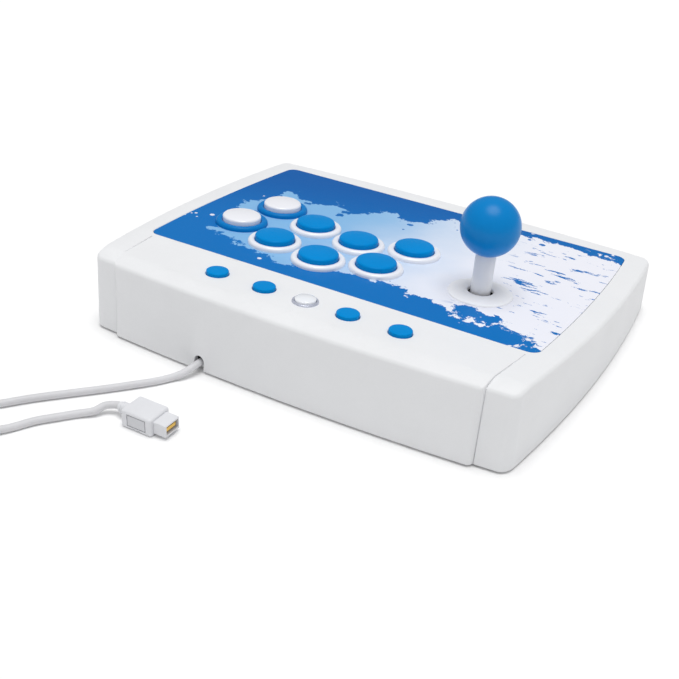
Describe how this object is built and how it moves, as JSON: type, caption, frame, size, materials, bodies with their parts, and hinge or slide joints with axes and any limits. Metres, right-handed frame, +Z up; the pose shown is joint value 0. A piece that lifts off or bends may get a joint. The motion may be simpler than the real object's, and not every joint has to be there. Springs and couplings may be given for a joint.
{
  "type": "arcade fight stick",
  "caption": "Sloped arcade controller with a ball-top stick, domed push buttons in two rows, a row of small keys and a coiled cord ending in a plug.",
  "frame": {"origin": "centre of the case's footprint on the table, under the rubber feet", "axes": "+X along the case to the player's right, +Y to the back wall where the cord leaves, +Z up"},
  "size_m": [0.3269, 0.4096, 0.1035],
  "materials": {
    "shell_plastic": "white satin-gloss moulded plastic",
    "base_plastic": "white matt moulded plastic",
    "panel_print": "blue printed panel under a gloss film",
    "foot_rubber": "matt black rubber",
    "cap_blue": "glossy bright blue plastic",
    "cap_white": "glossy white plastic",
    "home_clear": "clear domed plastic over a pale backing",
    "ring_chrome": "bright plated trim",
    "steel_parts": "plated steel",
    "black_plastic": "black engineering plastic",
    "white_plastic": "white engineering plastic",
    "silicone": "grey translucent silicone",
    "board": "green circuit board",
    "cord_jacket": "pale grey soft cord jacket",
    "tie_plastic": "white strap",
    "plug_plastic": "pale grey moulded plastic",
    "contact_metal": "gilt contacts on a carrier"
  },
  "bodies": {
    "housing": {"top_shell": "shell_plastic", "art_panel": "panel_print", "base_plate": "base_plastic", "rubber_feet": "foot_rubber", "base_screws": "steel_parts", "button_body_1": "cap_white", "button_body_2": "cap_white", "button_body_3": "cap_white", "button_body_4": "cap_blue", "button_body_5": "cap_white", "button_body_6": "cap_white", "button_body_7": "cap_white", "button_body_8": "cap_blue", "button_nuts": "black_plastic", "button_switches": "black_plastic", "home_ring": "ring_chrome", "key_membrane": "silicone", "menu_board": "board", "menu_screws": "steel_parts", "stick_collar": "cap_white", "mount_plate": "steel_parts", "mount_screws": "steel_parts", "stick_housing": "black_plastic", "stick_switches": "black_plastic", "switch_board": "board", "stick_gate": "white_plastic", "main_board": "board", "board_screws": "steel_parts", "cord_clamp": "black_plastic", "cord_run_out": "cord_jacket", "cord_coil": "cord_jacket", "cord_run_back": "cord_jacket", "coil_tie": "tie_plastic", "plug_body": "plug_plastic", "plug_nose": "plug_plastic", "plug_contacts": "contact_metal"},
    "cap_1": {"button_cap_1": "cap_blue"},
    "cap_2": {"button_cap_2": "cap_blue"},
    "cap_3": {"button_cap_3": "cap_blue"},
    "cap_4": {"button_cap_4": "cap_white"},
    "cap_5": {"button_cap_5": "cap_blue"},
    "cap_6": {"button_cap_6": "cap_blue"},
    "cap_7": {"button_cap_7": "cap_blue"},
    "cap_8": {"button_cap_8": "cap_white"},
    "key_1": {"menu_key_1": "cap_blue"},
    "key_2": {"menu_key_2": "cap_blue"},
    "key_3": {"menu_key_3": "cap_blue"},
    "key_4": {"menu_key_4": "cap_blue"},
    "key_home": {"home_key": "home_clear"},
    "ring": {"pivot_ring": "white_plastic"},
    "stick": {"ball_top": "cap_blue", "stick_shaft": "steel_parts", "shaft_cover": "cap_white", "stick_hub": "white_plastic", "stick_actuator": "black_plastic", "centring_spring": "steel_parts", "e_clip": "steel_parts"},
    "latch_near": {"plug_latch_near": "plug_plastic"},
    "latch_far": {"plug_latch_far": "plug_plastic"}
  },
  "joints": [
    {"name": "stick_forward_back", "type": "hinge", "parent": "housing", "child": "ring", "pos_m": [-0.0732, 0.01378, 0.03978], "axis": [1, 0, 0], "range_deg": [-8, 8], "stiffness_Nm_per_rad": 0.8},
    {"name": "stick_left_right", "type": "hinge", "parent": "ring", "child": "stick", "pos_m": [-0.0732, 0.01378, 0.03978], "axis": [0, 0.9977, 0.0683], "range_deg": [-8, 8], "stiffness_Nm_per_rad": 0.8},
    {"name": "button_1_press", "type": "slide", "parent": "housing", "child": "cap_1", "axis": [0, 0.0683, -0.9977], "range_m": [0, 0.0026], "stiffness_N_per_m": 300, "springref_m": -0.002},
    {"name": "button_2_press", "type": "slide", "parent": "housing", "child": "cap_2", "axis": [0, 0.0683, -0.9977], "range_m": [0, 0.0026], "stiffness_N_per_m": 300, "springref_m": -0.002},
    {"name": "button_3_press", "type": "slide", "parent": "housing", "child": "cap_3", "axis": [0, 0.0683, -0.9977], "range_m": [0, 0.0026], "stiffness_N_per_m": 300, "springref_m": -0.002},
    {"name": "button_4_press", "type": "slide", "parent": "housing", "child": "cap_4", "axis": [0, 0.0683, -0.9977], "range_m": [0, 0.0026], "stiffness_N_per_m": 300, "springref_m": -0.002},
    {"name": "button_5_press", "type": "slide", "parent": "housing", "child": "cap_5", "axis": [0, 0.0683, -0.9977], "range_m": [0, 0.0026], "stiffness_N_per_m": 300, "springref_m": -0.002},
    {"name": "button_6_press", "type": "slide", "parent": "housing", "child": "cap_6", "axis": [0, 0.0683, -0.9977], "range_m": [0, 0.0026], "stiffness_N_per_m": 300, "springref_m": -0.002},
    {"name": "button_7_press", "type": "slide", "parent": "housing", "child": "cap_7", "axis": [0, 0.0683, -0.9977], "range_m": [0, 0.0026], "stiffness_N_per_m": 300, "springref_m": -0.002},
    {"name": "button_8_press", "type": "slide", "parent": "housing", "child": "cap_8", "axis": [0, 0.0683, -0.9977], "range_m": [0, 0.0026], "stiffness_N_per_m": 300, "springref_m": -0.002},
    {"name": "key_1_press", "type": "slide", "parent": "housing", "child": "key_1", "axis": [0, 0.0683, -0.9977], "range_m": [0, 0.0008], "stiffness_N_per_m": 1200, "springref_m": -0.0006},
    {"name": "key_2_press", "type": "slide", "parent": "housing", "child": "key_2", "axis": [0, 0.0683, -0.9977], "range_m": [0, 0.0008], "stiffness_N_per_m": 1200, "springref_m": -0.0006},
    {"name": "key_3_press", "type": "slide", "parent": "housing", "child": "key_3", "axis": [0, 0.0683, -0.9977], "range_m": [0, 0.0008], "stiffness_N_per_m": 1200, "springref_m": -0.0006},
    {"name": "key_4_press", "type": "slide", "parent": "housing", "child": "key_4", "axis": [0, 0.0683, -0.9977], "range_m": [0, 0.0008], "stiffness_N_per_m": 1200, "springref_m": -0.0006},
    {"name": "home_key_press", "type": "slide", "parent": "housing", "child": "key_home", "axis": [0, 0.0683, -0.9977], "range_m": [0, 0.0008], "stiffness_N_per_m": 1200, "springref_m": -0.0006},
    {"name": "latch_near_press", "type": "slide", "parent": "housing", "child": "latch_near", "axis": [0, -1, 0], "range_m": [0, 0.0007], "stiffness_N_per_m": 1500, "springref_m": -0.0005},
    {"name": "latch_far_press", "type": "slide", "parent": "housing", "child": "latch_far", "axis": [0, 1, 0], "range_m": [0, 0.0007], "stiffness_N_per_m": 1500, "springref_m": -0.0005}
  ]
}
